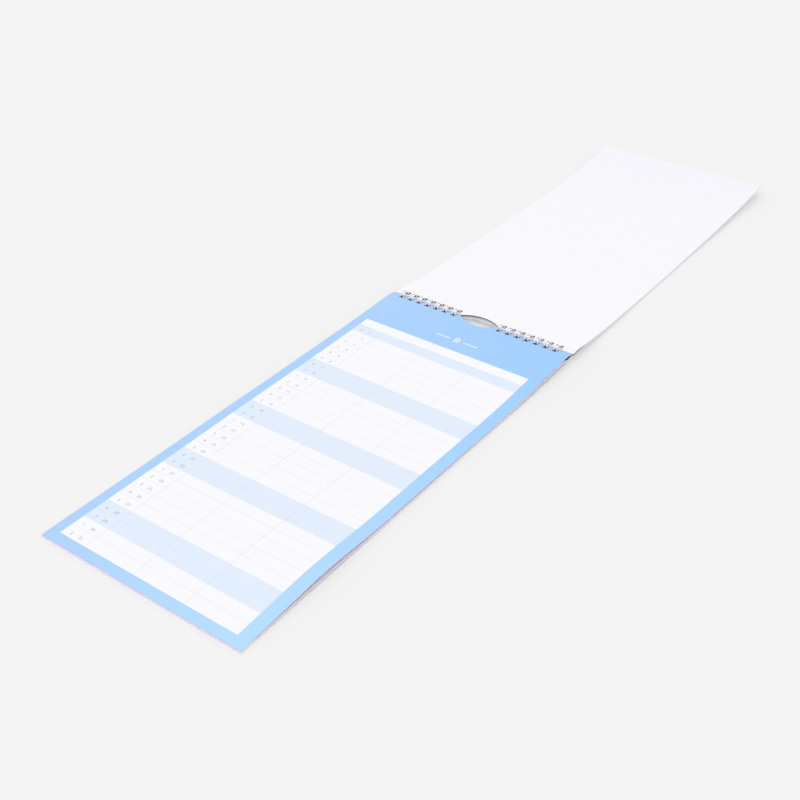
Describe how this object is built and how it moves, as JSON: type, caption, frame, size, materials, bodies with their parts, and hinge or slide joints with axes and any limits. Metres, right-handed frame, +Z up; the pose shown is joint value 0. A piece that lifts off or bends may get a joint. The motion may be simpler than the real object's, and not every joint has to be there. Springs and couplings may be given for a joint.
{
  "type": "wall calendar",
  "caption": "Tall narrow wall calendar on a twin-loop wire, lying open: one month with day rows in front, the leaves gone by turned over behind, card back and wire hanger.",
  "frame": {"origin": "on the table in the middle of the lying calendar, straight under the axis of the wire loops", "axes": "+X across the sheets to the right of the open month, +Y from the open month towards the turned leaves, +Z up from the table"},
  "size_m": [0.168, 0.7411, 0.0117],
  "materials": {
    "card": "smooth uncoated white card",
    "tinted_paper": "matte paper printed pale lilac",
    "blue_paper": "matte paper printed light blue",
    "white_print": "matte white field",
    "pale_blue_print": "matte pale blue print",
    "white_paper": "matte blank white paper",
    "loop_wire": "silver-coloured plain wire",
    "hanger_wire": "plain steel wire"
  },
  "bodies": {
    "back": {"backing_card": "card", "remaining_leaves": "tinted_paper", "twin_loops": "loop_wire"},
    "month_leaf": {"month_leaf": "blue_paper", "day_fields": "white_print", "weekend_bands": "pale_blue_print"},
    "turned_leaves": {"turned_leaves": "white_paper"},
    "hanger": {"hanger": "hanger_wire"}
  },
  "joints": [
    {"name": "month_leaf_turn", "type": "hinge", "parent": "back", "child": "month_leaf", "pos_m": [0, 0, 0.0055], "axis": [-1, 0, 0], "range_deg": [0, 125]},
    {"name": "turned_leaves_turn", "type": "hinge", "parent": "back", "child": "turned_leaves", "pos_m": [0, 0, 0.0055], "axis": [1, 0, 0], "range_deg": [0, 125]},
    {"name": "hanger_swing", "type": "hinge", "parent": "back", "child": "hanger", "pos_m": [0, 0.00115, 0.0032], "axis": [1, 0, 0], "range_deg": [0, 150]}
  ]
}
